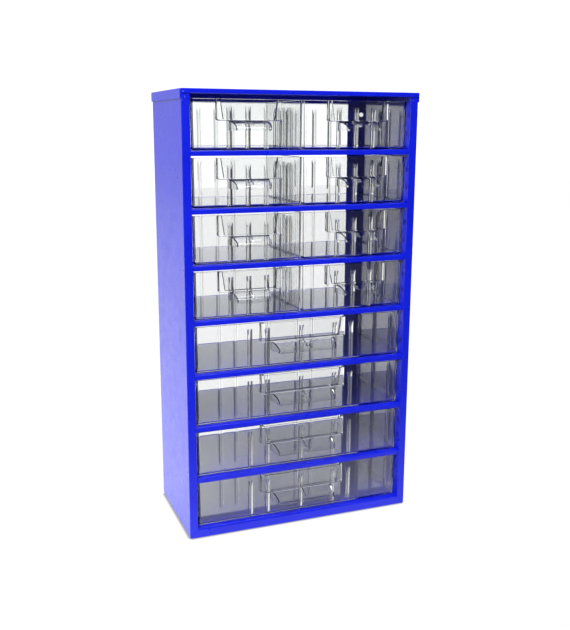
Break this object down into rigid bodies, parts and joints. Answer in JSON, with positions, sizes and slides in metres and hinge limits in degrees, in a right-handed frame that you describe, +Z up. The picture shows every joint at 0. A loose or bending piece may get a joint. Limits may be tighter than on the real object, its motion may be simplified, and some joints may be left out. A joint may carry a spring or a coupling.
{
  "type": "parts organizer",
  "caption": "Upright sheet-steel cabinet, open at the back, with rows of clear pull-out drawers: paired small ones above and full-width ones below, each with a label pocket and a hooded pull.",
  "frame": {"origin": "middle of the overall footprint, on the surface that the cabinet stands on", "axes": "+X to the right, +Y to the back, +Z up; the drawers face -Y and pull out along -Y"},
  "size_m": [0.306, 0.165, 0.55],
  "materials": {
    "blue_steel": "gloss powder coat",
    "clear_plastic": "clear polished"
  },
  "bodies": {
    "cabinet": {"carcass": "blue_steel", "top_cover": "blue_steel", "shelf_row1": "blue_steel", "shelf_row2": "blue_steel", "shelf_row3": "blue_steel", "shelf_row4": "blue_steel", "shelf_row5": "blue_steel", "shelf_row6": "blue_steel", "shelf_row7": "blue_steel", "shelf_row8": "blue_steel"},
    "drawer_row1_left": {"small_drawer_row1_left": "clear_plastic"},
    "drawer_row1_right": {"small_drawer_row1_right": "clear_plastic"},
    "drawer_row2_left": {"small_drawer_row2_left": "clear_plastic"},
    "drawer_row2_right": {"small_drawer_row2_right": "clear_plastic"},
    "drawer_row3_left": {"small_drawer_row3_left": "clear_plastic"},
    "drawer_row3_right": {"small_drawer_row3_right": "clear_plastic"},
    "drawer_row4_left": {"small_drawer_row4_left": "clear_plastic"},
    "drawer_row4_right": {"small_drawer_row4_right": "clear_plastic"},
    "drawer_row5": {"wide_drawer_row5": "clear_plastic"},
    "drawer_row6": {"wide_drawer_row6": "clear_plastic"},
    "drawer_row7": {"wide_drawer_row7": "clear_plastic"},
    "drawer_row8": {"wide_drawer_row8": "clear_plastic"}
  },
  "joints": [
    {"name": "drawer_row1_left_slide", "type": "slide", "parent": "cabinet", "child": "drawer_row1_left", "axis": [0, -1, 0], "range_m": [0, 0.115]},
    {"name": "drawer_row1_right_slide", "type": "slide", "parent": "cabinet", "child": "drawer_row1_right", "axis": [0, -1, 0], "range_m": [0, 0.115]},
    {"name": "drawer_row2_left_slide", "type": "slide", "parent": "cabinet", "child": "drawer_row2_left", "axis": [0, -1, 0], "range_m": [0, 0.115]},
    {"name": "drawer_row2_right_slide", "type": "slide", "parent": "cabinet", "child": "drawer_row2_right", "axis": [0, -1, 0], "range_m": [0, 0.115]},
    {"name": "drawer_row3_left_slide", "type": "slide", "parent": "cabinet", "child": "drawer_row3_left", "axis": [0, -1, 0], "range_m": [0, 0.115]},
    {"name": "drawer_row3_right_slide", "type": "slide", "parent": "cabinet", "child": "drawer_row3_right", "axis": [0, -1, 0], "range_m": [0, 0.115]},
    {"name": "drawer_row4_left_slide", "type": "slide", "parent": "cabinet", "child": "drawer_row4_left", "axis": [0, -1, 0], "range_m": [0, 0.115]},
    {"name": "drawer_row4_right_slide", "type": "slide", "parent": "cabinet", "child": "drawer_row4_right", "axis": [0, -1, 0], "range_m": [0, 0.115]},
    {"name": "drawer_row5_slide", "type": "slide", "parent": "cabinet", "child": "drawer_row5", "axis": [0, -1, 0], "range_m": [0, 0.115]},
    {"name": "drawer_row6_slide", "type": "slide", "parent": "cabinet", "child": "drawer_row6", "axis": [0, -1, 0], "range_m": [0, 0.115]},
    {"name": "drawer_row7_slide", "type": "slide", "parent": "cabinet", "child": "drawer_row7", "axis": [0, -1, 0], "range_m": [0, 0.115]},
    {"name": "drawer_row8_slide", "type": "slide", "parent": "cabinet", "child": "drawer_row8", "axis": [0, -1, 0], "range_m": [0, 0.115]}
  ]
}
